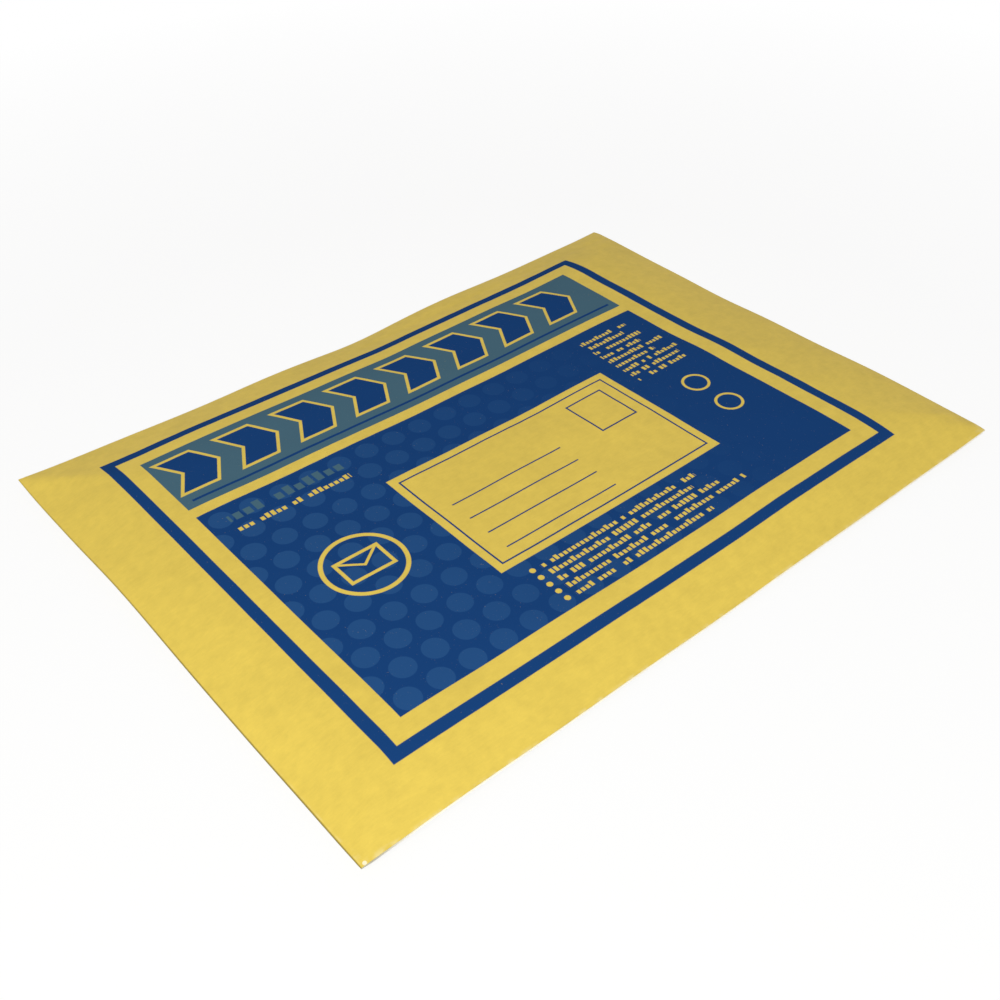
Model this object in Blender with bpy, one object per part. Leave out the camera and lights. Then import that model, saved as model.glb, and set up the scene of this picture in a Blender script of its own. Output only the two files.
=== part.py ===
"""A padded mailing bag that lies face up, with its flap folded under and stuck down.

Metres, +Z up. +X runs along the bag to its bottom fold, and the flap's fold is at -X. The bag rests on z = 0.
"""
import math

import bmesh
import bpy
from mathutils import Vector

MM = 0.001

# The room inside, and the flat strips that the edges add to it
inside_length = 270 * MM
inside_width = 191 * MM
side_seam = 10 * MM
mouth_lip = 10 * MM
bottom_fold = 5 * MM

# The flat strips are thin and slope up from the bag's outer edge to the padding
strip_thickness = 1.0 * MM
edge_height = 2.7 * MM
strip_rise = 2.8 * MM
fold_roundness = 0.4 * MM

# The padding swells from the strips: less on the front, more on the back, which the table then flattens
front_swell = 3.7 * MM
front_roll = 28 * MM
back_swell = 5.8 * MM
back_roll = 24 * MM
roll_power = 2.2
corner_softness = 5 * MM

# The padding draws the long sides in between the corners
far_side_draw = 1.8 * MM
near_side_draw = 0.3 * MM
draw_power = 8

# The soft bend across the middle, from which both ends rise
bend_place = 3 * MM
bend_roundness = 12 * MM
far_end_rise = 2.3 * MM
near_end_rise = 1.0 * MM

# The flap on the back
flap_length = 45 * MM
flap_thickness = 0.5 * MM
flap_inset = 1.5 * MM
flap_corner_trim = 9 * MM
flap_span = 30 * MM

# The print on the front: a rule all round, and fields of ink inside it
rule_near_margin = 17.9 * MM
rule_far_margin = 15.8 * MM
rule_mouth_margin = 24.0 * MM
rule_bottom_margin = 33.6 * MM
rule_width = 4.2 * MM
field_gap = 6.6 * MM
band_depth = 36 * MM
band_gap = 5 * MM
label_length = 104 * MM
label_width = 62 * MM
label_offset = 9 * MM

# The longest step between two cuts, and how near two places are one place
facet_size = 6.2 * MM
same_place = 0.01 * MM

half_length = (inside_length + mouth_lip + bottom_fold) / 2
half_width = inside_width / 2 + side_seam
flap_end = -half_length + flap_length
flap_side = half_width - flap_inset

rule_left = -half_length + rule_mouth_margin
rule_right = half_length - rule_bottom_margin
rule_near = -half_width + rule_near_margin
rule_far = half_width - rule_far_margin
field_left = rule_left + rule_width + field_gap
field_right = rule_right - rule_width - field_gap
field_near = rule_near + rule_width + field_gap
field_far = rule_far - rule_width - field_gap
band_near = field_far - band_depth
panel_far = band_near - band_gap
label_left = (field_left + field_right - label_length) / 2 + label_offset
label_right = label_left + label_length
label_near = (field_near + panel_far - label_width) / 2
label_far = label_near + label_width


def clear_scene():
    for thing in list(bpy.data.objects):
        bpy.data.objects.remove(thing, do_unlink=True)


def make_material(name, colour, roughness):
    material = bpy.data.materials.new(name)
    material.use_nodes = True
    shader = material.node_tree.nodes["Principled BSDF"]
    shader.inputs["Base Color"].default_value = (*colour, 1)
    shader.inputs["Roughness"].default_value = roughness
    shader.inputs["Metallic"].default_value = 0
    material.diffuse_color = (*colour, 1)
    return material


def spread_lines(stops, spacing):
    """The stops in order, with even steps no longer than spacing between each two."""
    ordered = sorted(stops)
    lines = []
    for low, high in zip(ordered, ordered[1:]):
        steps = max(1, math.ceil((high - low) / spacing))
        lines.extend(low + (high - low) * step / steps for step in range(steps))
    return lines[1:]


def cut_across(mesh, places, normal):
    for place in places:
        geometry = mesh.verts[:] + mesh.edges[:] + mesh.faces[:]
        bmesh.ops.bisect_plane(mesh, geom=geometry, dist=same_place, plane_co=normal * place, plane_no=normal)


def cut_flat_bag():
    """A thin block the size of the flat bag, cut along every line where the paper bends or the ink changes."""
    mesh = bmesh.new()
    bmesh.ops.create_cube(mesh, size=1)
    bmesh.ops.scale(mesh, vec=(2 * half_length, 2 * half_width, strip_thickness), verts=mesh.verts)
    lengthwise = [-half_length, -half_length + mouth_lip, flap_end, half_length - bottom_fold, half_length,
                  rule_left, rule_left + rule_width, rule_right - rule_width, rule_right,
                  field_left, field_right, label_left, label_right]
    crosswise = [-half_width, -flap_side, -half_width + side_seam, half_width - side_seam, flap_side, half_width,
                 rule_near, rule_near + rule_width, rule_far - rule_width, rule_far,
                 field_near, field_far, band_near, panel_far, label_near, label_far]
    cut_across(mesh, spread_lines(lengthwise, facet_size), Vector((1, 0, 0)))
    cut_across(mesh, spread_lines(crosswise, facet_size), Vector((0, 1, 0)))
    cut_across(mesh, [0], Vector((0, 0, 1)))
    return mesh


def between(value, low, high):
    return low < value < high


def faces_down(face):
    return face.normal.z < -0.5


def faces_up(face):
    return face.normal.z > 0.5


def on_flap(place):
    trimmed = place.x - flap_end + abs(place.y) - flap_side + flap_corner_trim > 0
    return place.x < flap_end and abs(place.y) < flap_side and not trimmed


def beside_trim(place, side):
    reach = flap_corner_trim + facet_size
    return between(place.x, flap_end - reach, flap_end) and between(side * place.y, flap_side - reach, flap_side)


def add_flap(mesh):
    """The flap is one more layer of paper on the back, with its two corners trimmed off."""
    for side in (-1, 1):
        back = [face for face in mesh.faces if faces_down(face) and beside_trim(face.calc_center_median(), side)]
        edges = {edge for face in back for edge in face.edges}
        corners = {corner for face in back for corner in face.verts}
        trim_start = Vector((flap_end - flap_corner_trim, side * flap_side, 0))
        bmesh.ops.bisect_plane(mesh, geom=[*corners, *edges, *back], dist=same_place,
                               plane_co=trim_start, plane_no=Vector((1, side, 0)))
    mesh.normal_update()
    flap = [face for face in mesh.faces if faces_down(face) and on_flap(face.calc_center_median())]
    grown = bmesh.ops.extrude_face_region(mesh, geom=flap)["geom"]
    corners = [item for item in grown if isinstance(item, bmesh.types.BMVert)]
    bmesh.ops.translate(mesh, vec=(0, 0, -flap_thickness), verts=corners)
    bmesh.ops.delete(mesh, geom=flap, context="FACES")


def ink_at(place):
    """Which ink lies on the front at a place: bare paper, dark blue or grey-blue."""
    in_outline = between(place.x, rule_left, rule_right) and between(place.y, rule_near, rule_far)
    in_opening = (between(place.x, rule_left + rule_width, rule_right - rule_width)
                  and between(place.y, rule_near + rule_width, rule_far - rule_width))
    if in_outline and not in_opening:
        return "dark_blue_ink"
    if not between(place.x, field_left, field_right):
        return "yellow_paper"
    if between(place.y, band_near, field_far):
        return "grey_blue_ink"
    on_label = between(place.x, label_left, label_right) and between(place.y, label_near, label_far)
    if between(place.y, field_near, panel_far) and not on_label:
        return "dark_blue_ink"
    return "yellow_paper"


def smaller_of(one, other, softness):
    """The smaller of two values, with the change between them rounded off."""
    overlap = max(softness - abs(one - other), 0)
    return min(one, other) - overlap * overlap / (4 * softness)


def strip_share(x, y):
    """How far a place has climbed the flat strip: 0 at the bag's outer edge, 1 at the padding."""
    end_strip = mouth_lip if x < 0 else bottom_fold
    along = (half_length - abs(x)) / end_strip
    across = (half_width - abs(y)) / side_seam
    return max(min(smaller_of(along, across, corner_softness / side_seam), 1), 0)


def padding_share(x, y, roll):
    """How much of the swell stands at a place: 0 on the flat strips, 1 once the padding has rolled over."""
    end_strip = mouth_lip if x < 0 else bottom_fold
    along = half_length - abs(x) - end_strip
    across = half_width - abs(y) - side_seam
    distance = smaller_of(along, across, corner_softness)
    return 1 - (1 - max(min(distance / roll, 1), 0)) ** roll_power


def bend_lift(x, y):
    """How far the soft bend across the middle raises a place."""
    toward_far = (y / half_width + 1) / 2
    rise = near_end_rise + (far_end_rise - near_end_rise) * toward_far
    slope = math.hypot(x - bend_place, bend_roundness) - bend_roundness
    return rise * slope / (math.hypot(half_length, bend_roundness) - bend_roundness)


def middle_height(x, y):
    return edge_height + strip_rise * strip_share(x, y) + bend_lift(x, y)


def front_height(x, y):
    return middle_height(x, y) + strip_thickness / 2 + front_swell * padding_share(x, y, front_roll)


def back_height(x, y):
    free = middle_height(x, y) - strip_thickness / 2 - back_swell * padding_share(x, y, back_roll)
    table = flap_thickness if x < flap_end + same_place else 0
    return max(free, table)


def flap_height(x, y):
    """The flap hangs straight from its fold to the padding, and from there on it lies on the back."""
    lying = back_height(x, y)
    share = (x + half_length) / flap_span
    if share < 1:
        fold = back_height(-half_length, y)
        landing = back_height(-half_length + flap_span, y)
        lying = min(lying, fold + (landing - fold) * share)
    return lying - flap_thickness


def drawn_in(x, y):
    """How far from the middle line a point ends up once the padding has drawn the sides in."""
    draw = far_side_draw if y > 0 else near_side_draw
    share = 1 - abs(x / half_length) ** draw_power
    return y - math.copysign(draw * share * (y / half_width) ** 2, y)


def swell_bag(mesh):
    """Moves the flat block's points to the padded form."""
    face_layer = strip_thickness / 2
    flap_layer = -face_layer - flap_thickness
    for point in mesh.verts:
        x, y, layer = point.co
        at_fold = abs(x) > half_length - same_place
        if abs(layer - flap_layer) < same_place:
            height = flap_height(x, y)
        elif layer < -face_layer / 2:
            height = back_height(x, y)
        elif layer > face_layer / 2:
            height = front_height(x, y)
        else:
            height = middle_height(x, y)
            at_fold = False
        point.co.x = x - math.copysign(fold_roundness, x) if at_fold else x
        point.co.y = drawn_in(x, y)
        point.co.z = height


def make_envelope():
    materials = [
        make_material("yellow_paper", (0.72, 0.53, 0.11), 0.55),
        make_material("dark_blue_ink", (0.008, 0.045, 0.19), 0.45),
        make_material("grey_blue_ink", (0.05, 0.13, 0.18), 0.45),
    ]
    names = [material.name for material in materials]
    mesh = cut_flat_bag()
    for face in mesh.faces:
        ink = ink_at(face.calc_center_median()) if faces_up(face) else "yellow_paper"
        face.material_index = names.index(ink)
    add_flap(mesh)
    swell_bag(mesh)
    data = bpy.data.meshes.new("padded_envelope")
    mesh.to_mesh(data)
    mesh.free()
    for material in materials:
        data.materials.append(material)
    data.shade_smooth()
    data.set_sharp_from_angle(angle=math.radians(40))
    envelope = bpy.data.objects.new("padded_envelope", data)
    bpy.context.scene.collection.objects.link(envelope)


clear_scene()
make_envelope()
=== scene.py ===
"""The looks of a padded mailing bag of yellow paper, printed in blue, lying face up on a pale floor.

Metres, +Z up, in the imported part's frame. +X runs along the bag to its bottom fold, the flap's fold is
at -X, and +Y is the bag's far side.
"""

import math

import bmesh
import bpy
import numpy as np
from mathutils import Matrix, Vector


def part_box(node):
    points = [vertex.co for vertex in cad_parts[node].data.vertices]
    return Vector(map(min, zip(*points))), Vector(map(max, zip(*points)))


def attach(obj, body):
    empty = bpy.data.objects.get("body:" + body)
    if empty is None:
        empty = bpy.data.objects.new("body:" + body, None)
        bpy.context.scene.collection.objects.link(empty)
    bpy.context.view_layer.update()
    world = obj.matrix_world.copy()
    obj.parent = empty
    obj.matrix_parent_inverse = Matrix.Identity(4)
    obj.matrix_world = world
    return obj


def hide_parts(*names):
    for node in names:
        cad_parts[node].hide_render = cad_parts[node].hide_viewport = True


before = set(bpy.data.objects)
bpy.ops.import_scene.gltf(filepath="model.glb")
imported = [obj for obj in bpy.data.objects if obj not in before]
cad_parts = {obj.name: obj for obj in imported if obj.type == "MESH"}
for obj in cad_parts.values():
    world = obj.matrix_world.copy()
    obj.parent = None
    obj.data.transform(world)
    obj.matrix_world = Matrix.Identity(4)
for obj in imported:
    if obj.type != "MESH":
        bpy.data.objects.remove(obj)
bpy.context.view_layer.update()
bpy.ops.object.select_all(action="DESELECT")

# The bag
# One web of yellow paper with bubble film bonded inside it, folded at the bottom, welded flat along both
# long sides, with its flap folded round the mouth and stuck to the back. The welds and folds stay thin, and
# the bubbles push the rest up into a shallow cushion that the table flattens underneath.

MM = 0.001
_, envelope_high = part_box("padded_envelope")
half_length = envelope_high.x
half_width = envelope_high.y

# The flat strips at the welds and the mouth slope up from the bag's outer edge
side_seam = 10 * MM
mouth_lip = 10 * MM
strip_thickness = 1.0 * MM
edge_height = 2.7 * MM
strip_rise = 2.8 * MM
fold_roundness = 0.4 * MM
corner_softness = 3 * MM
weld_thinning = 0.45 * MM

# The padding swells from the strips, and the table flattens it underneath
front_swell = 3.7 * MM
front_roll = 28 * MM
back_swell = 5.8 * MM
back_roll = 24 * MM
roll_power = 2.2
mitre_softness = 0.05
landing_softness = 0.5 * MM

# The bottom fold is full of padding, apart from its ends, where the welds run into it
full_fold_roll = 34 * MM
full_fold_power = 1.6
full_fold_start = 0.12
welded_fold_roll = 12 * MM
welded_fold_length = 18 * MM

# The padding draws the sides in, and a soft bend lifts both ends
far_side_draw = 1.8 * MM
near_side_draw = 0.3 * MM
draw_power = 8
bend_place = 3 * MM
bend_roundness = 12 * MM
far_end_rise = 2.3 * MM
near_end_rise = 1.0 * MM

# The bag is a little long at its far corner, and its mouth is a little hollow
far_corner_length = 1.8 * MM
corner_reach = 34 * MM
mouth_draw = 0.65 * MM
mouth_hollow_place = 25 * MM
mouth_hollow_reach = 42 * MM

flap_length = 45 * MM
flap_paper = 0.25 * MM
flap_inset = 1.5 * MM
flap_corner_trim = 9 * MM
flap_span = 30 * MM
flap_end = -half_length + flap_length
flap_side = half_width - flap_inset

facet_size = 1.4 * MM
same_place = 0.001 * MM
fold_line = half_length - fold_roundness

# The layers of the flat bag, and the material slots
FRONT, BACK, FLAP = 1, 0, -1
PRINTED, PLAIN, FILM = 0, 1, 2


def smaller_of(one, other, softness):
    """The smaller of two values, with the change between them rounded off."""
    overlap = np.maximum(softness - np.abs(one - other), 0)
    return np.minimum(one, other) - overlap ** 2 / (4 * softness)


def larger_of(one, other, softness):
    return -smaller_of(-one, -other, softness)


def rolled(distance, roll, power):
    """The round shoulder of the padding: 0 where it starts, 1 once it has rolled over."""
    return 1 - (1 - np.clip(distance / roll, 0, 1)) ** power


def full_fold_share(x):
    """The even slope up from the bottom fold, which the padding fills."""
    return rolled(half_length - x, full_fold_roll, full_fold_power)


def strip_share(x, y):
    """How far a place has climbed the flat strip: 0 at the bag's outer edge, 1 at the padding."""
    on_weld = np.clip((np.abs(y) - half_width + welded_fold_length) / side_seam, 0, 1)
    welded_fold_share = rolled(half_length - x, welded_fold_roll, full_fold_power)
    climb = full_fold_share(x) + (welded_fold_share - full_fold_share(x)) * on_weld
    from_fold = full_fold_start + (1 - full_fold_start) * climb
    along = np.where(x < 0, (half_length + x) / mouth_lip, from_fold)
    across = (half_width - np.abs(y)) / side_seam
    return np.clip(smaller_of(along, across, corner_softness / side_seam), 0, 1)


def padding_share(x, y, roll):
    """How much of the swell stands at a place: 0 on the flat strips, 1 once the padding has rolled over."""
    along = np.where(x < 0, rolled(half_length + x - mouth_lip, roll, roll_power), full_fold_share(x))
    across = rolled(half_width - np.abs(y) - side_seam, roll, roll_power)
    return np.clip(smaller_of(along, across, mitre_softness), 0, 1)


def bend_lift(x, y):
    """How far the soft bend across the middle raises a place."""
    toward_far = (y / half_width + 1) / 2
    rise = near_end_rise + (far_end_rise - near_end_rise) * toward_far
    slope = np.hypot(x - bend_place, bend_roundness) - bend_roundness
    return rise * slope / (math.hypot(half_length, bend_roundness) - bend_roundness)


def soft_waves(x, y, wavelength, seed):
    """Random hollows and swells, about a wavelength wide and one high or deep."""
    chance = np.random.default_rng(seed)
    count = 9
    total = np.zeros_like(x)
    for _ in range(count):
        direction, phase = chance.uniform(0, 2 * math.pi, 2)
        length = wavelength * chance.uniform(0.7, 1.5)
        travel = x * math.cos(direction) + y * math.sin(direction)
        total += np.sin(2 * math.pi * travel / length + phase)
    return total / math.sqrt(count / 2)


bubble_pitch = 10.5 * MM
bubble_radius = 4.6 * MM
bubble_power = 1.5


def bubble_share(x, y):
    """The rows of bubbles in the lining: 1 on top of a bubble, 0 between them."""
    row_pitch = bubble_pitch * math.sqrt(3)
    shares = []
    for shift in (0, 0.5):
        across = (x / bubble_pitch - shift + 0.5) % 1 - 0.5
        along = (y / row_pitch - shift + 0.5) % 1 - 0.5
        distance = np.hypot(across * bubble_pitch, along * row_pitch) / bubble_radius
        shares.append(np.clip(1 - distance ** 2, 0, 1) ** bubble_power)
    return np.maximum(*shares)


pucker_pitch = 17 * MM
pucker_reach = 20 * MM
first_pucker = 18 * MM
last_pucker = 14 * MM
pucker_lean = 0.25
pucker_ridge = 0.7
pucker_at_edge = 0.15


def seam_puckers(x, y, seed):
    """Short creases that run in from the welds, where flat paper has to follow the swelling padding."""
    chance = np.random.default_rng(seed)
    total = np.zeros_like(x)
    for side in (-1, 1):
        inward = half_width - side * y
        rise = np.clip(inward / side_seam, pucker_at_edge, 1)
        fade = np.clip(1 - (inward - side_seam) / pucker_reach, 0, 1) ** 2
        place = -half_length + first_pucker
        while place < half_length - last_pucker:
            lean = chance.uniform(-pucker_lean, pucker_lean)
            width = chance.uniform(2.2, 4.5) * MM
            depth = chance.uniform(0.2, 1)
            offset = (x - place - lean * (inward - side_seam)) / width
            total -= depth * (1 - pucker_ridge * offset ** 2) * np.exp(-offset ** 2) * rise * fade
            place += pucker_pitch * chance.uniform(0.55, 1.5)
    return total


undulation_height = 0.10 * MM
undulation_length = 34 * MM
bubble_height = 0.05 * MM
uneven_length = 60 * MM
pucker_depth = 0.14 * MM
edge_wave_height = 0.12 * MM
edge_wave_length = 46 * MM
dent_depth = 0.8 * MM
dent_length = 11 * MM
dent_reach = 45 * MM


def side_dent(x, y):
    """The shallow dent in the far side, where the bag was bent."""
    along = np.exp(-((x - bend_place) / dent_length) ** 2)
    return dent_depth * along * np.clip(1 - (half_width - y) / dent_reach, 0, 1) ** 2


def handled(x, y):
    """Where use has pushed the bag up or down. Each place has a middle, two reaches and a height, in mm."""
    far_edge = (54, 106, 38, 11, 1.6)
    far_edge_at_bend = (3, 106, 10, 11, 0.6)
    far_edge_before_bend = (-38, 106, 30, 11, 0.75)
    far_left_edge = (-122, 106, 40, 13, 0.75)
    far_right_tip = (112, 91, 14, 9, 0.5)
    mouth = (-143, 20, 14, 30, 0.8)
    mouth_corner = (-124, 90, 32, 18, -0.9)
    bottom_edge = (143, -55, 13, 48, 1.15)
    bottom_hollow = (115, 25, 36, 30, -0.7)
    near_edge = (100, -106, 34, 14, -0.6)
    near_rule = (58, -86, 32, 14, 0.8)
    total = np.zeros_like(x)
    for middle_x, middle_y, reach_x, reach_y, height in (
            far_edge, far_edge_at_bend, far_edge_before_bend, far_left_edge, far_right_tip,
            mouth, mouth_corner, bottom_edge, bottom_hollow, near_edge, near_rule):
        across = (x / MM - middle_x) / reach_x
        along = (y / MM - middle_y) / reach_y
        total += height * MM * np.exp(-across ** 2 - along ** 2)
    return total


def paper_relief(x, y, seed):
    """What the bubbles, the welds and handling leave on the paper of one side."""
    on_padding = padding_share(x, y, front_roll)
    uneven_bubbles = np.clip(0.6 + 0.4 * soft_waves(x, y, uneven_length, seed + 1), 0.1, 1.2)
    relief = undulation_height * on_padding * soft_waves(x, y, undulation_length, seed)
    relief = relief + bubble_height * on_padding * uneven_bubbles * bubble_share(x, y)
    return relief + pucker_depth * seam_puckers(x, y, seed + 2)


def middle_height(x, y):
    edge_wave = edge_wave_height * (1 - strip_share(x, y)) * soft_waves(x, y, edge_wave_length, 11)
    lift = bend_lift(x, y) - side_dent(x, y) + handled(x, y)
    return edge_height + strip_rise * strip_share(x, y) + lift + edge_wave


def front_height(x, y):
    swell = front_swell * padding_share(x, y, front_roll)
    return middle_height(x, y) + strip_thickness / 2 + swell + paper_relief(x, y, 21)


def flap_distance(x, y):
    """How far outside the flap's outline a place on the back lies. It is below 0 under the flap."""
    past_end = x - flap_end
    past_side = np.abs(y) - flap_side
    past_trim = (past_end + past_side + flap_corner_trim) / math.sqrt(2)
    return np.maximum(np.maximum(past_end, past_side), past_trim)


flap_settling = 4 * MM


def back_height(x, y):
    """The back swells until it meets the table, or under the flap until the flap meets it."""
    swell = back_swell * padding_share(x, y, back_roll)
    thinner = weld_thinning * np.clip(1 - (half_width - np.abs(y)) / side_seam, 0, 1)
    free = middle_height(x, y) - strip_thickness / 2 + thinner - swell + paper_relief(x, y, 51)
    table = flap_paper * np.clip(1 - flap_distance(x, y) / flap_settling, 0, 1)
    return larger_of(free, table, landing_softness)


def flap_height(x, y):
    """The flap hangs straight from its fold to the padding, and from there on it lies on the back."""
    lying = back_height(x, y)
    share = np.clip((x + half_length) / flap_span, 0, 1)
    fold = back_height(np.full_like(x, -half_length), y)
    landing = back_height(np.full_like(x, -half_length + flap_span), y)
    hanging = np.minimum(lying, fold + (landing - fold) * share)
    return np.where(share < 1, hanging, lying) - flap_paper


def drawn_out(x, y):
    """How far along a place ends up: the bag is a little long at its far corner and hollow at its mouth."""
    toward_far = (y / half_width + 1) / 2
    toward_end = np.clip((x - half_length) / corner_reach + 1, 0, 1)
    toward_mouth = np.clip((-x - half_length) / corner_reach + 1, 0, 1)
    hollow = mouth_draw * np.exp(-((y - mouth_hollow_place) / mouth_hollow_reach) ** 2)
    return x + far_corner_length * (toward_far * toward_end) ** 2 + hollow * toward_mouth ** 2


def drawn_in(x, y):
    """How far from the middle line a place ends up once the padding has drawn the sides in."""
    draw = np.where(y > 0, far_side_draw, near_side_draw)
    share = 1 - np.abs(x / half_length) ** draw_power
    return y - np.copysign(draw * share * (y / half_width) ** 2, y)


def spread_lines(stops, spacing):
    """Lines through all the stops, with even steps no longer than spacing between each two."""
    lines = [stops[:1]]
    for start, end in zip(stops, stops[1:]):
        steps = math.ceil((end - start) / spacing)
        lines.append(np.linspace(start, end, steps + 1)[1:])
    return np.concatenate(lines)


# The rim's section from front to back: how high each line lies, and how far out it stands from the sheets
end_levels = [0.93, 0.75, 0.5, 0.25, 0.07]
side_levels = [0.86, 0.82, 0.5, 0.18, 0.14]
side_stands = [0.0, -0.30 * MM, -0.15 * MM, -0.30 * MM, 0.0]
corner_blend = 2.5 * MM


def rim_point(x, y, ring):
    """A point of the rim beside one of the outline: a round fold at the ends, a cut edge at the sides."""
    at_end = abs(x) > fold_line - same_place
    from_corner = 0 if at_end else min((fold_line - abs(x)) / corner_blend, 1)
    level = end_levels[ring] + (side_levels[ring] - end_levels[ring]) * from_corner
    if at_end:
        x += math.copysign(fold_roundness * math.sqrt(1 - (2 * level - 1) ** 2), x)
    else:
        y += math.copysign(side_stands[ring] * from_corner, y)
    return x, y, level


def flat_bag():
    """The bag before it swells: x and y on the flat paper, and as z the layer from FRONT to BACK."""
    columns = spread_lines([-fold_line, flap_end, fold_line], facet_size)
    rows = spread_lines([-half_width, -flap_side, flap_side, half_width], facet_size)
    wide, deep = len(columns), len(rows)
    places = [(x, y, layer) for layer in (FRONT, BACK) for x in columns for y in rows]
    front = np.arange(wide * deep).reshape(wide, deep)
    back = front + wide * deep
    faces = []
    slots = []
    for column in range(wide - 1):
        for row in range(deep - 1):
            corners = [(column, row), (column + 1, row), (column + 1, row + 1), (column, row + 1)]
            faces.append([front[corner] for corner in corners])
            faces.append([back[corner] for corner in reversed(corners)])
            slots.extend([PRINTED, PLAIN])
    outline = np.concatenate([front[:-1, 0], front[-1, :-1], front[:0:-1, -1], front[0, :0:-1]])
    rings = [outline]
    for ring in range(len(end_levels)):
        rings.append(np.arange(len(outline)) + len(places))
        places.extend(rim_point(*places[point][:2], ring) for point in outline)
    rings.append(outline + wide * deep)
    for ring, (upper, lower) in enumerate(zip(rings, rings[1:])):
        for point in range(len(outline)):
            following = (point + 1) % len(outline)
            faces.append([upper[following], upper[point], lower[point], lower[following]])
            middle_x = (places[outline[point]][0] + places[outline[following]][0]) / 2
            at_side = abs(middle_x) < fold_line - same_place
            slots.append(FILM if at_side and 0 < ring < len(end_levels) else PLAIN)
    data = bpy.data.meshes.new("padded_bag")
    data.from_pydata(places, [], faces)
    data.polygons.foreach_set("material_index", slots)
    return data


def back_faces(mesh):
    return [face for face in mesh.faces if all(corner.co.z == BACK for corner in face.verts)]


def add_flap(mesh):
    """The flap is one more layer of paper on the back, with its two corners trimmed off."""
    for side in (-1, 1):
        near_trim = []
        for face in back_faces(mesh):
            middle = face.calc_center_median()
            past_trim = abs(middle.x - flap_end + side * middle.y - flap_side + flap_corner_trim)
            if past_trim < 2 * facet_size and middle.x < flap_end and 0 < side * middle.y < flap_side:
                near_trim.append(face)
        edges = dict.fromkeys(edge for face in near_trim for edge in face.edges)
        corners = dict.fromkeys(corner for face in near_trim for corner in face.verts)
        trim_start = Vector((flap_end - flap_corner_trim, side * flap_side, BACK))
        bmesh.ops.bisect_plane(mesh, geom=[*corners, *edges, *near_trim], dist=same_place,
                               plane_co=trim_start, plane_no=Vector((1, side, 0)))
    flap = []
    for face in back_faces(mesh):
        middle = face.calc_center_median()
        if flap_distance(middle.x, middle.y) < 0:
            flap.append(face)
    grown = bmesh.ops.extrude_face_region(mesh, geom=flap)["geom"]
    for item in grown:
        if isinstance(item, bmesh.types.BMVert):
            item.co.z = FLAP
    bmesh.ops.delete(mesh, geom=flap, context="FACES")


flap_rim_share = 0.12


def swell_bag(flat):
    """Where each place of the flat bag lies once the padding has swelled."""
    x, y, layer = flat.T
    within_x = np.clip(x, -fold_line, fold_line)
    front = front_height(within_x, y)
    back = back_height(within_x, y)
    flap = flap_height(within_x, y)
    at_flap_fold = (x < -fold_line + same_place) & (np.abs(y) < flap_side + same_place)
    lowest = np.where(at_flap_fold, flap, back)
    share = np.where(at_flap_fold, flap_rim_share + (1 - flap_rim_share) * layer, layer)
    height = lowest + share * (front - lowest)
    on_flap = layer < (BACK + FLAP) / 2
    return np.column_stack([drawn_out(x, y), drawn_in(x, y), np.where(on_flap, flap, height)])


def make_bag():
    mesh = bmesh.new()
    mesh.from_mesh(flat_bag())
    add_flap(mesh)
    data = bpy.data.meshes.new("padded_bag")
    mesh.to_mesh(data)
    mesh.free()
    flat = np.empty(len(data.vertices) * 3)
    data.vertices.foreach_get("co", flat)
    data.attributes.new("flat_paper", "FLOAT_VECTOR", "POINT").data.foreach_set("vector", flat)
    data.vertices.foreach_set("co", swell_bag(flat.reshape(-1, 3)).ravel())
    data.update()
    bag = bpy.data.objects.new("padded_bag", data)
    bpy.context.scene.collection.objects.link(bag)
    bpy.context.view_layer.objects.active = bag
    bag.select_set(True)
    bpy.ops.object.shade_smooth_by_angle(angle=math.radians(40))
    bag.select_set(False)
    return bag


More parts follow.
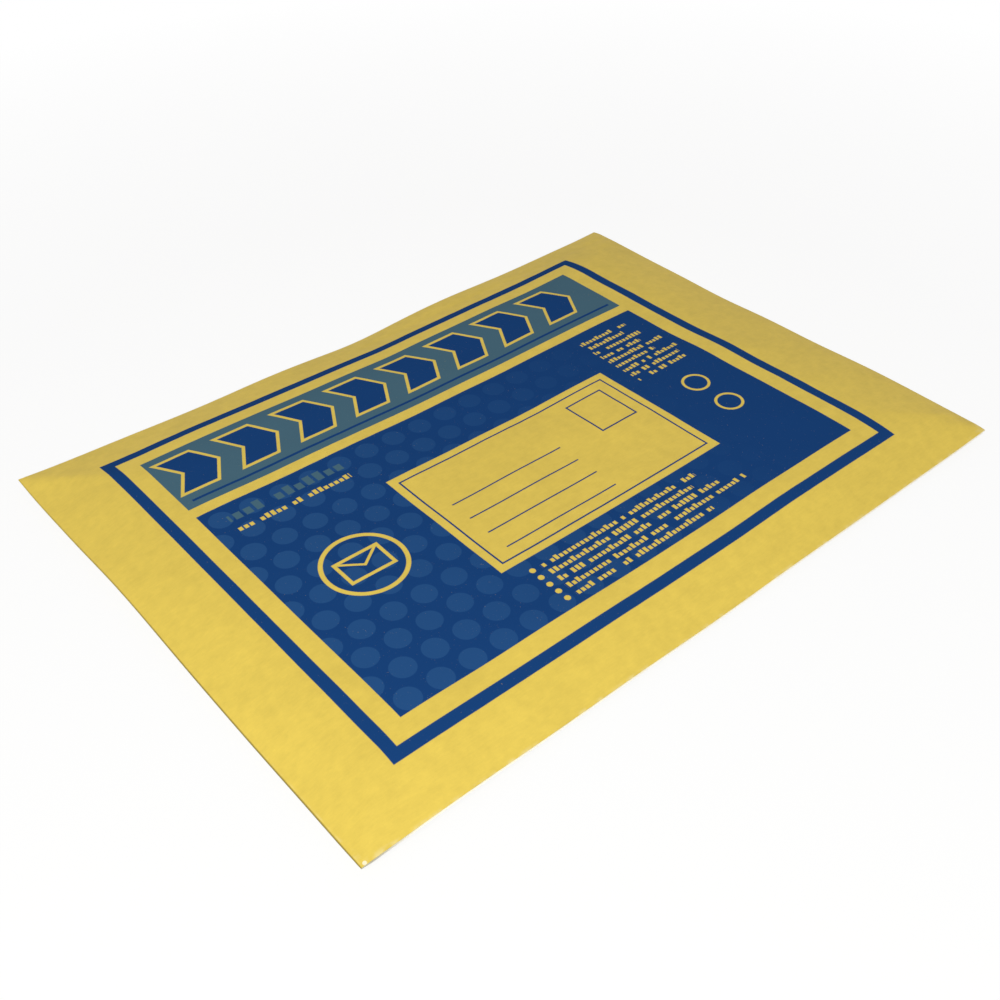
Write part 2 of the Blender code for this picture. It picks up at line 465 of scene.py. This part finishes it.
class Shade:
    """A number, place or colour that changes over a surface. Arithmetic on it adds Math nodes."""

    def __init__(self, tree, socket=None):
        self.tree = tree
        self.socket = socket

    def node(self, kind, settings, values, output=0):
        """A node of that kind, with its settings made before its sockets get their values or links."""
        made = self.tree.nodes.new(kind)
        for name, setting in settings.items():
            setattr(made, name, setting)
        for name, value in values.items():
            if isinstance(value, Shade):
                self.tree.links.new(value.socket, made.inputs[name])
            else:
                made.inputs[name].default_value = value
        return Shade(self.tree, made.outputs[output])

    def maths(self, operation, *values):
        return self.node("ShaderNodeMath", {"operation": operation}, dict(enumerate(values)))

    def __add__(self, other):
        return self.maths("ADD", self, other)

    def __sub__(self, other):
        return self.maths("SUBTRACT", self, other)

    def __mul__(self, other):
        return self.maths("MULTIPLY", self, other)

    def __truediv__(self, other):
        return self.maths("DIVIDE", self, other)

    def __rsub__(self, other):
        return self.maths("SUBTRACT", other, self)

    def __abs__(self):
        return self.maths("ABSOLUTE", self)

    __radd__ = __add__
    __rmul__ = __mul__

    def larger(self, other):
        return self.maths("MAXIMUM", self, other)

    def smaller(self, other):
        return self.maths("MINIMUM", self, other)

    def above(self, limit):
        """1 where this number is above the limit, 0 elsewhere."""
        return self.maths("GREATER_THAN", self, limit)

    def floored(self):
        return self.maths("FLOOR", self)

    def root(self):
        return self.maths("SQRT", self)

    def clamped(self):
        """This number, kept between 0 and 1."""
        return self.node("ShaderNodeClamp", {}, {"Value": self})

    def repeated(self, pitch):
        """The same stretch over and over, from half a pitch below 0 to half a pitch above it."""
        return self.maths("WRAP", self, pitch / 2, -pitch / 2)

    def noise(self, scale, detail=2.0, roughness=0.5):
        """Fractal noise from 0 to 1 at this place."""
        values = {"Vector": self, "Scale": scale, "Detail": detail, "Roughness": roughness}
        return self.node("ShaderNodeTexNoise", {}, values)

    def stretched(self, scales):
        return self.node("ShaderNodeMapping", {}, {"Vector": self, "Scale": scales})

    def split(self):
        """The x, y and z of this place."""
        parts = self.node("ShaderNodeSeparateXYZ", {}, {"Vector": self})
        return [Shade(self.tree, socket) for socket in parts.socket.node.outputs]

    def plain_colour(self, colour):
        """A colour that is the same all over, in this one's material."""
        made = self.node("ShaderNodeRGB", {}, {})
        made.socket.default_value = colour
        return made

    def blend(self, share, other):
        """This colour, going over to the other one as share goes from 0 to 1."""
        values = {0: share, 6: self, 7: other}
        return self.node("ShaderNodeMix", {"data_type": "RGBA"}, values, output=2)

    def tinted(self, strength):
        """This colour with its light and dark changed by a number near 1."""
        values = {0: self, 3: strength}
        return self.node("ShaderNodeVectorMath", {"operation": "SCALE"}, values)


def new_material(name):
    material = bpy.data.materials.new(name)
    material.use_nodes = True
    shader = material.node_tree.nodes["Principled BSDF"]
    return material, shader, Shade(material.node_tree)


def link(value, shader, name):
    value.tree.links.new(value.socket, shader.inputs[name])


yellow = (0.703, 0.521, 0.084, 1)
yellow_worn = (0.82, 0.70, 0.34, 1)
film_white = (0.93, 0.88, 0.72, 1)
dark_blue = (0.0080, 0.0480, 0.174, 1)
dot_blue = (0.0170, 0.0720, 0.212, 1)
grey_blue = (0.0610, 0.1330, 0.184, 1)

paper_roughness = 0.60
ink_roughness = 0.46
cloud_roughness = 0.06
paper_sheen = 0.55
ink_sheen = 0.05
sheen_roughness = 0.5
relief_strength = 0.5
relief_depth = 0.05 * MM

# The print, in millimetres on the flat paper from the bag's centre
rule_left, rule_right = -118.5, 109.5
rule_near, rule_far = -88.0, 89.7
rule_width = 4.2
field_left, field_right = -107.7, 98.1
field_near, field_far = -76.8, 78.9
band_near = 42.9
panel_far = 37.9
label_left, label_right = -47.8, 56.2
label_near, label_far = -50.5, 11.5
ink_edge = 0.25
thin_line = 0.7


def flat_place(start):
    """Where a place lies on the flat paper, in millimetres from the bag's centre, and in which layer."""
    flat = start.node("ShaderNodeAttribute", {"attribute_name": "flat_paper"}, {}, output="Vector")
    x, y, layer = flat.split()
    return x / MM, y / MM, layer


def box_distance(x, y, left, right, near, far):
    """How far outside a rectangle a place is, below 0 inside it."""
    across = abs(x - (left + right) / 2) - (right - left) / 2
    along = abs(y - (near + far) / 2) - (far - near) / 2
    return across.larger(along)


def disc_distance(x, y, radius):
    """How far outside a disc round 0 a place is, below 0 inside it."""
    return (x * x + y * y).root() - radius


def inked(distance):
    """1 inside an outline, 0 outside it, with the slight spread of ink at its edge."""
    return (0.5 - distance / ink_edge).clamped()


def line_round(distance, width):
    """A line of that width, just inside an outline."""
    return inked(abs(distance + width / 2) - width / 2)


def chevron_row(x, y):
    """A row of forward arrows in the band, as the distances outside them."""
    slope, width, pitch, count = 0.55, 13.0, 24.5, 8
    half_depth, middle = 10.5, 63.0
    start = -104.0
    from_middle = abs(y - middle)
    along = x + slope * from_middle - start
    within = abs((along - pitch / 2).repeated(pitch)) - width / 2
    ends = abs(along - pitch * count / 2) - pitch * count / 2
    return within.larger(from_middle - half_depth).larger(ends)


def text_lines(x, y, left, right, far, pitch, count, height, seed):
    """Lines of plain blocks with gaps, as small print looks from a step away."""
    letter_pitch = 0.82 * height
    letter_width = 0.68 * letter_pitch
    low_letter, extra_height, gap_chance, tall_chance, longest_gap = 0.7, 0.3, 0.15, 0.72, 0.35
    below = far - y
    line = (below / pitch).floored()
    letter = (x / letter_pitch).floored()
    place = x.node("ShaderNodeCombineXYZ", {}, {0: letter, 1: line + seed})
    chance = x.node("ShaderNodeTexWhiteNoise", {"noise_dimensions": "2D"}, {"Vector": place})
    ends = x.node("ShaderNodeTexWhiteNoise", {"noise_dimensions": "1D"}, {"W": line + seed})
    tall = chance.above(tall_chance) * (extra_height * height)
    up = (pitch / 2 - below).repeated(pitch)
    block = abs(up + extra_height * height / 2 - tall / 2) - (low_letter * height / 2 + tall / 2)
    block = block.larger(abs((x - letter_pitch / 2).repeated(letter_pitch)) - letter_width / 2)
    paragraph = box_distance(x, y, left, right, far - pitch * count, far)
    past_end = x - (right - (right - left) * longest_gap * ends)
    return inked(block.larger(paragraph).larger(past_end)) * chance.above(gap_chance)


def fading_dots(x, y):
    """Staggered rows of dots, which fade away to the right."""
    pitch, row_pitch, radius = 12.0, 20.8, 4.3
    fade_end, fade_reach = 70, 150
    rows = []
    for shift in (0, 0.5):
        across = (x - pitch * shift).repeated(pitch)
        along = (y - row_pitch * shift).repeated(row_pitch)
        rows.append(inked(disc_distance(across, along, radius)))
    return rows[0].larger(rows[1]) * ((fade_end - x) / fade_reach).clamped()


def address_marks(x, y, label):
    """The border of the address field, its four lines and the empty box for a stamp."""
    border_inset, line_pitch, first_line, line_width = 3.0, 9.5, -13.25, 0.6
    border = line_round(label + border_inset, thin_line)
    from_line = abs((y - first_line).repeated(line_pitch)) - line_width / 2
    lines = inked(from_line.larger(box_distance(x, y, -38, 12, -44, -8)))
    stamp = line_round(box_distance(x, y, 30, 48, -17, 3.5), thin_line)
    return border.larger(lines).larger(stamp)


def badge_marks(x, y):
    """A ring round a plain sign of an envelope."""
    middle_x, middle_y = -78, -18
    ring_radius, ring_width = 15, 1.6
    half_sheet, half_depth, sheet_line = 9, 6, 1.3
    fold_slope, fold_width = 0.72, 1.2
    x = x - middle_x
    y = y - middle_y
    ring = line_round(disc_distance(x, y, ring_radius), ring_width)
    sheet = box_distance(x, y, -half_sheet, half_sheet, -half_depth, half_depth)
    fold = abs(y - half_depth + (half_sheet - abs(x)) * fold_slope) - fold_width / 2
    return ring.larger(line_round(sheet, sheet_line)).larger(inked(fold.larger(sheet)))


def small_print(x, y):
    """Rows of blocks under the title, beside the address field, and with round marks below it."""
    under_title = text_lines(x, y, left=-100, right=-44, far=25.4, pitch=4.0, count=1, height=2.6, seed=5)
    beside = text_lines(x, y, left=64, right=94, far=33, pitch=4.1, count=9, height=2.2, seed=14)
    pitch, far = 4.1, -54.0
    below = text_lines(x, y, left=-36, right=52, far=far, pitch=pitch, count=5, height=2.3, seed=9)
    mark = disc_distance(x + 39.5, (y - far + pitch / 2).repeated(pitch), 1.1)
    marks = inked(mark.larger(box_distance(x, y, -41, -38, far - 5 * pitch, far)))
    return under_title.larger(beside).larger(below).larger(marks)


def two_rings(x, y):
    """Two plain rings, one below the other."""
    middle_x, middle_y, pitch, radius, width = 79, -18, 17, 5.6, 1.1
    rings = line_round(disc_distance(x - middle_x, (y - middle_y).repeated(pitch), radius), width)
    return rings * inked(box_distance(x, y, 66, 92, -43.5, -9.5))


def printed_colour(x, y, paper, density):
    """The paper's colour with both inks on it, and how much ink lies there."""
    chevron_gap = 1.4
    outline = box_distance(x, y, rule_left, rule_right, rule_near, rule_far)
    field = box_distance(x, y, field_left, field_right, field_near, field_far)
    label = box_distance(x, y, label_left, label_right, label_near, label_far)
    chevrons = chevron_row(x, y)

    bare_marks = badge_marks(x, y).larger(small_print(x, y)).larger(two_rings(x, y))
    panel = inked(field.larger(y - panel_far)) * (1 - inked(label)) * (1 - bare_marks)
    panel_ink = paper.plain_colour(dark_blue).blend(fading_dots(x, y), dot_blue)
    title = text_lines(x, y, left=-100, right=-36, far=35, pitch=9, count=1, height=5.0, seed=3)
    band = inked(field.larger(band_near - y)) * (1 - inked(chevrons - chevron_gap))
    band_line = inked(box_distance(x, y, -104, 95, 46.2, 47.4))
    blue_marks = line_round(outline, rule_width).larger(address_marks(x, y, label))
    blue_marks = blue_marks.larger(inked(chevrons)).larger(band_line)

    colour = paper.blend(panel * density, panel_ink)
    colour = colour.blend(title * panel, grey_blue)
    colour = colour.blend(band * density, grey_blue)
    colour = colour.blend(blue_marks * density, dark_blue)
    return colour, panel.larger(band).larger(blue_marks)


def paper_surface(start):
    """The bare paper: the place on it, its colour, its relief and its soft clouds."""
    place = start.node("ShaderNodeTexCoord", {}, {}, output="Object")
    cloudy = place.noise(45, detail=3)
    mottle = place.noise(240, detail=4, roughness=0.6)
    fibres = place.stretched((260, 1500, 800)).noise(1.0, detail=3, roughness=0.6)
    grain = place.noise(2600, detail=2)
    tone = 1 + 0.14 * (cloudy - 0.5) + 0.24 * (mottle - 0.5) + 0.12 * (fibres - 0.5) + 0.06 * (grain - 0.5)
    relief = 0.4 * grain + 0.4 * fibres + 0.9 * mottle
    return place, place.plain_colour(yellow).tinted(tone), relief, cloudy


def finish_paper(start, shader, relief):
    """The fine relief and the faint sheen that all the paper has."""
    shader.inputs["Coat Roughness"].default_value = sheen_roughness
    shader.inputs["Specular IOR Level"].default_value = 0.0
    values = {"Strength": relief_strength, "Distance": relief_depth, "Height": relief}
    link(start.node("ShaderNodeBump", {}, values), shader, "Normal")


# Wear, in millimetres on the flat paper, and in metres for the reach of the painted shade on the thin edges
wear_reach = 1.0
corner_wear = 1.6
corner_wear_reach = 12
near_wear_start = -40
wear_strength = 0.6
film_speck_place = (-140.9, -104.9)
film_speck_radius = 0.6
film_speck_strength = 0.7
# The thin edges are painted darker round the near corner of the mouth: painted shade, as of the edge
# turning under.
paper_edge_shade_reach = 220 * MM
film_edge_shade_reach = 14 * MM
edge_shade_darkness = 0.6
film_edge_shade_darkness = 0.5
flap_cut_width = 0.5
flap_cut_paleness = 0.6
flap_shade_width = 1.2
flap_shade_darkness = 0.35


def worn_edges(x, y, place):
    """Where the paper's colour is rubbed pale, in spots along its near edge and at its near corners."""
    from_end = half_length / MM - abs(x)
    from_side = half_width / MM - abs(y)
    from_corner = from_end.larger(from_side)
    reach = wear_reach + corner_wear * (1 - from_corner / corner_wear_reach).clamped()
    spots = ((place.noise(330, detail=3) - 0.46) * 5).clamped()
    near_side = ((y - near_wear_start) / near_wear_start).clamped()
    return wear_strength * spots * (1 - from_end.smaller(from_side) / reach).clamped() * near_side


def printed_paper():
    material, shader, start = new_material("printed_yellow_paper")
    place, paper, relief, cloudy = paper_surface(start)
    x, y, _ = flat_place(start)
    speck = place.noise(2200, detail=2)
    density = 1 - 0.4 * ((speck - 0.72) * 12).clamped()
    paper = paper.blend(worn_edges(x, y, place), yellow_worn)
    colour, ink = printed_colour(x, y, paper, density)
    film = inked(disc_distance(x - film_speck_place[0], y - film_speck_place[1], film_speck_radius))
    link(colour.blend(film_speck_strength * film, film_white), shader, "Base Color")
    roughness = paper_roughness - (paper_roughness - ink_roughness) * ink + cloud_roughness * cloudy
    link(roughness, shader, "Roughness")
    link(paper_sheen - (paper_sheen - ink_sheen) * ink, shader, "Coat Weight")
    finish_paper(start, shader, relief)
    return material


def edge_painted_shade(start, place, reach):
    """How much painted shade darkens the thin edge of the bag: most round the corner where the mouth meets
    the near side.
    """
    _, _, layer = flat_place(start)
    on_edge = (layer * 9).clamped() * ((1 - layer) * 9).clamped()
    offset = place.node("ShaderNodeVectorMath", {"operation": "DISTANCE"},
                        {0: place, 1: (-half_length, -half_width, 0)}, output="Value")
    return on_edge * (1.4 - offset / reach).clamped()


def flap_edges(start):
    """The flap's cut edge, where the paper shows pale, and the narrow gap of shade outside it."""
    x, y, layer = flat_place(start)
    past_end = x - flap_end / MM
    past_side = abs(y) - flap_side / MM
    past_trim = (past_end + past_side + flap_corner_trim / MM) / math.sqrt(2)
    outside = past_end.larger(past_side).larger(past_trim)
    on_back = 1 - (layer * 20).clamped()
    cut_edge = line_round(outside, flap_cut_width) * on_back
    shade = (1 - outside / flap_shade_width).clamped() * inked(0 - outside) * on_back
    return cut_edge, shade


def plain_paper():
    material, shader, start = new_material("plain_yellow_paper")
    place, paper, relief, cloudy = paper_surface(start)
    cut_edge, shade = flap_edges(start)
    paper = paper.blend(flap_cut_paleness * cut_edge, yellow_worn)
    # Painted shade darkens the paper's thin edge round the near corner of the mouth.
    painted_shade = edge_painted_shade(start, place, paper_edge_shade_reach)
    tone = (1 - edge_shade_darkness * painted_shade) * (1 - flap_shade_darkness * shade)
    link(paper.tinted(tone), shader, "Base Color")
    link(paper_roughness + cloud_roughness * cloudy, shader, "Roughness")
    shader.inputs["Coat Weight"].default_value = paper_sheen
    finish_paper(start, shader, relief)
    return material


def film_edge():
    """The cut edge of the bubble film, pressed flat between the two sheets of paper."""
    material, shader, start = new_material("bubble_film_edge")
    place = start.node("ShaderNodeTexCoord", {}, {}, output="Object")
    layers = place.stretched((180, 180, 5200)).noise(1.0, detail=2)
    # Painted shade darkens the film's edge round the near corner of the mouth.
    painted_shade = edge_painted_shade(start, place, film_edge_shade_reach)
    tone = (0.8 + 0.3 * layers) * (1 - film_edge_shade_darkness * painted_shade)
    link(place.plain_colour(film_white).tinted(tone), shader, "Base Color")
    link(0.3 + 0.2 * layers, shader, "Roughness")
    return material


bag = make_bag()
for material in (printed_paper(), plain_paper(), film_edge()):
    bag.data.materials.append(material)
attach(bag, "root")
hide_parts("padded_envelope")

# The floor
# A pale, even studio floor. It is lifted towards white for the camera, fully so from a hand's breadth
# round the bag outwards, and keeps the bag's soft shadow.

floor_size = 6.0
floor_colour = (0.90, 0.90, 0.89, 1)
floor_lift = 0.86
fade_start = 0.22
fade_length = 0.35
bpy.ops.mesh.primitive_plane_add(size=floor_size)
floor = bpy.context.active_object
floor.name = "floor"
floor_material, floor_shader, floor_start = new_material("pale_floor")
floor_shader.inputs["Base Color"].default_value = floor_colour
floor_shader.inputs["Roughness"].default_value = 0.9
floor_shader.inputs["Specular IOR Level"].default_value = 0.0


def seen_directly(start):
    """1 for rays from the camera, or seen by it in a mirror or through glass."""
    path = start.node("ShaderNodeLightPath", {}, {}, output="Is Camera Ray")
    outputs = path.socket.node.outputs
    glossy = Shade(start.tree, outputs["Is Glossy Ray"])
    through = Shade(start.tree, outputs["Is Transmission Ray"])
    return path.larger(glossy).larger(through)


floor_place = floor_start.node("ShaderNodeTexCoord", {}, {}, output="Object")
from_middle = floor_place.node("ShaderNodeVectorMath", {"operation": "LENGTH"}, {0: floor_place},
                               output="Value")
whiter = ((from_middle - fade_start) / fade_length).clamped()
lift = floor_start.node("ShaderNodeEmission", {}, {"Strength": 1.0})
lit = Shade(floor_start.tree, floor_shader.outputs[0])
share = seen_directly(floor_start) * (floor_lift + (1 - floor_lift) * whiter)
both = lift.node("ShaderNodeMixShader", {}, {0: share, 1: lit, 2: lift})
floor_output = floor_material.node_tree.nodes["Material Output"]
floor_start.tree.links.new(both.socket, floor_output.inputs["Surface"])
floor.data.materials.append(floor_material)

# The light
# One large soft lamp to the near left, as a window, and an even pale room, which the camera sees as white.

room_level = 0.395
room_colour = (1.0, 0.93, 0.96, 1)
lamp_place = Vector((-0.46, -0.46, 0.61))
lamp_size = 0.39
lamp_power = 6.18
lamp_colour = (0.97, 1.0, 0.95)

lamp_data = bpy.data.lights.new("window", "AREA")
lamp_data.shape = "DISK"
lamp_data.size = lamp_size
lamp_data.energy = lamp_power
lamp_data.color = lamp_colour
lamp = bpy.data.objects.new("window", lamp_data)
bpy.context.scene.collection.objects.link(lamp)
lamp.location = lamp_place
lamp.rotation_euler = lamp_place.to_track_quat("Z", "Y").to_euler()

room = bpy.data.worlds.new("room")
room.use_nodes = True
bpy.context.scene.world = room
room_start = Shade(room.node_tree)
room_light = room_start.node("ShaderNodeBackground", {}, {"Color": room_colour, "Strength": room_level})
room_white = room_start.node("ShaderNodeBackground", {}, {"Color": (1, 1, 1, 1), "Strength": 1.0})
room_share = seen_directly(room_start)
room_both = room_start.node("ShaderNodeMixShader", {}, {0: room_share, 1: room_light, 2: room_white})
room_output = room.node_tree.nodes["World Output"]
room.node_tree.links.new(room_both.socket, room_output.inputs["Surface"])

# The camera
# It stands at the near left corner and looks down on the bag, as the photograph's does.

camera_turn = math.radians(-39.906)
camera_rise = math.radians(39.370)
camera_roll = math.radians(-1.074)
camera_distance = 427.68 * MM
aim_point = Vector((-16.27 * MM, -12.65 * MM, 0))
sensor_width = 36.0
focal_share = 1.2036

camera_data = bpy.data.cameras.new("camera")
camera_data.sensor_width = sensor_width
camera_data.lens = sensor_width * focal_share
camera_data.clip_start = 10 * MM
camera = bpy.data.objects.new("camera", camera_data)
bpy.context.scene.collection.objects.link(camera)
turn = Matrix.Rotation(camera_turn, 4, "Z") @ Matrix.Rotation(math.pi / 2 - camera_rise, 4, "X")
back = turn @ Vector((0, 0, 1))
camera.matrix_world = (Matrix.Translation(aim_point + back * camera_distance) @ turn
                       @ Matrix.Rotation(camera_roll, 4, "Z"))
bpy.context.scene.camera = camera
bpy.context.scene.view_settings.view_transform = "Standard"
